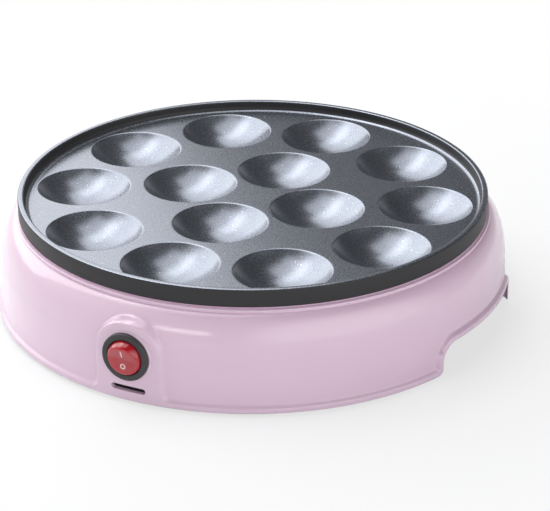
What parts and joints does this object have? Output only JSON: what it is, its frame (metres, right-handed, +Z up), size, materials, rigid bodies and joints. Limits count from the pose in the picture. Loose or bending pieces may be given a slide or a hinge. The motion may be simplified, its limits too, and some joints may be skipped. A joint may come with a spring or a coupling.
{
  "type": "mini pancake maker",
  "caption": "Round electric pancake maker with a moulded housing, a coated plate of shallow round moulds, a rocker switch and side hand openings.",
  "frame": {"origin": "on the table under the middle of the baking plate", "axes": "+Z up, -Y towards the switch, +X to the right as seen from the switch side"},
  "size_m": [0.2496, 0.2618, 0.057],
  "materials": {
    "aluminised_steel": "bright",
    "black_plastic": "satin black",
    "blue_wire": "satin",
    "brass": "bright",
    "brown_wire": "satin",
    "coated_aluminium": "charcoal non-stick coating",
    "element_sheath": "heat-tinted",
    "fuse_sleeve": "woven glass fibre",
    "lamp_glass": "clear",
    "nylon": "natural",
    "pink_plastic": "pale pink gloss",
    "plated_steel": "zinc plated",
    "red_plastic": "translucent red",
    "rubber": "matt",
    "white_ceramic": "glazed"
  },
  "bodies": {
    "base": {"baking_plate": "coated_aluminium", "bottom_cover": "black_plastic", "clamp_screw_front_left": "plated_steel", "clamp_screw_front_right": "plated_steel", "clamp_screw_rear_left": "plated_steel", "clamp_screw_rear_right": "plated_steel", "cord_clamp": "nylon", "cord_clamp_screw_left": "plated_steel", "cord_clamp_screw_right": "plated_steel", "cord_gland": "black_plastic", "element_clamp_front_left": "plated_steel", "element_clamp_front_right": "plated_steel", "element_clamp_rear_left": "plated_steel", "element_clamp_rear_right": "plated_steel", "element_terminal_left": "brass", "element_terminal_right": "brass", "foot_front_left": "rubber", "foot_front_right": "rubber", "foot_rear_left": "rubber", "foot_rear_right": "rubber", "fuse_clip": "plated_steel", "fuse_clip_screw": "plated_steel", "heat_shield": "aluminised_steel", "heating_element": "element_sheath", "housing": "pink_plastic", "spacer_tube_front_left": "plated_steel", "spacer_tube_front_right": "plated_steel", "spacer_tube_rear_left": "plated_steel", "spacer_tube_rear_right": "plated_steel", "switch_body": "black_plastic", "switch_lamp": "lamp_glass", "switch_tab_lamp": "brass", "switch_tab_line": "brass", "switch_tab_load": "brass", "terminal_block": "nylon", "thermal_fuse": "fuse_sleeve", "thermostat": "white_ceramic", "thermostat_tab_left": "brass", "thermostat_tab_right": "brass", "tie_screw_front_left": "plated_steel", "tie_screw_front_right": "plated_steel", "tie_screw_rear_left": "plated_steel", "tie_screw_rear_right": "plated_steel", "wire_block_to_switch": "brown_wire", "wire_switch_to_block": "blue_wire", "wire_switch_to_thermostat": "brown_wire", "wire_thermostat_to_element": "brown_wire"},
    "rocker_part": {"rocker": "red_plastic"}
  },
  "joints": [
    {"name": "rocker_tilt", "type": "hinge", "parent": "base", "child": "rocker_part", "pos_m": [0, -0.1248, 0.0242], "axis": [-1, 0, 0], "range_deg": [0, 22]}
  ]
}
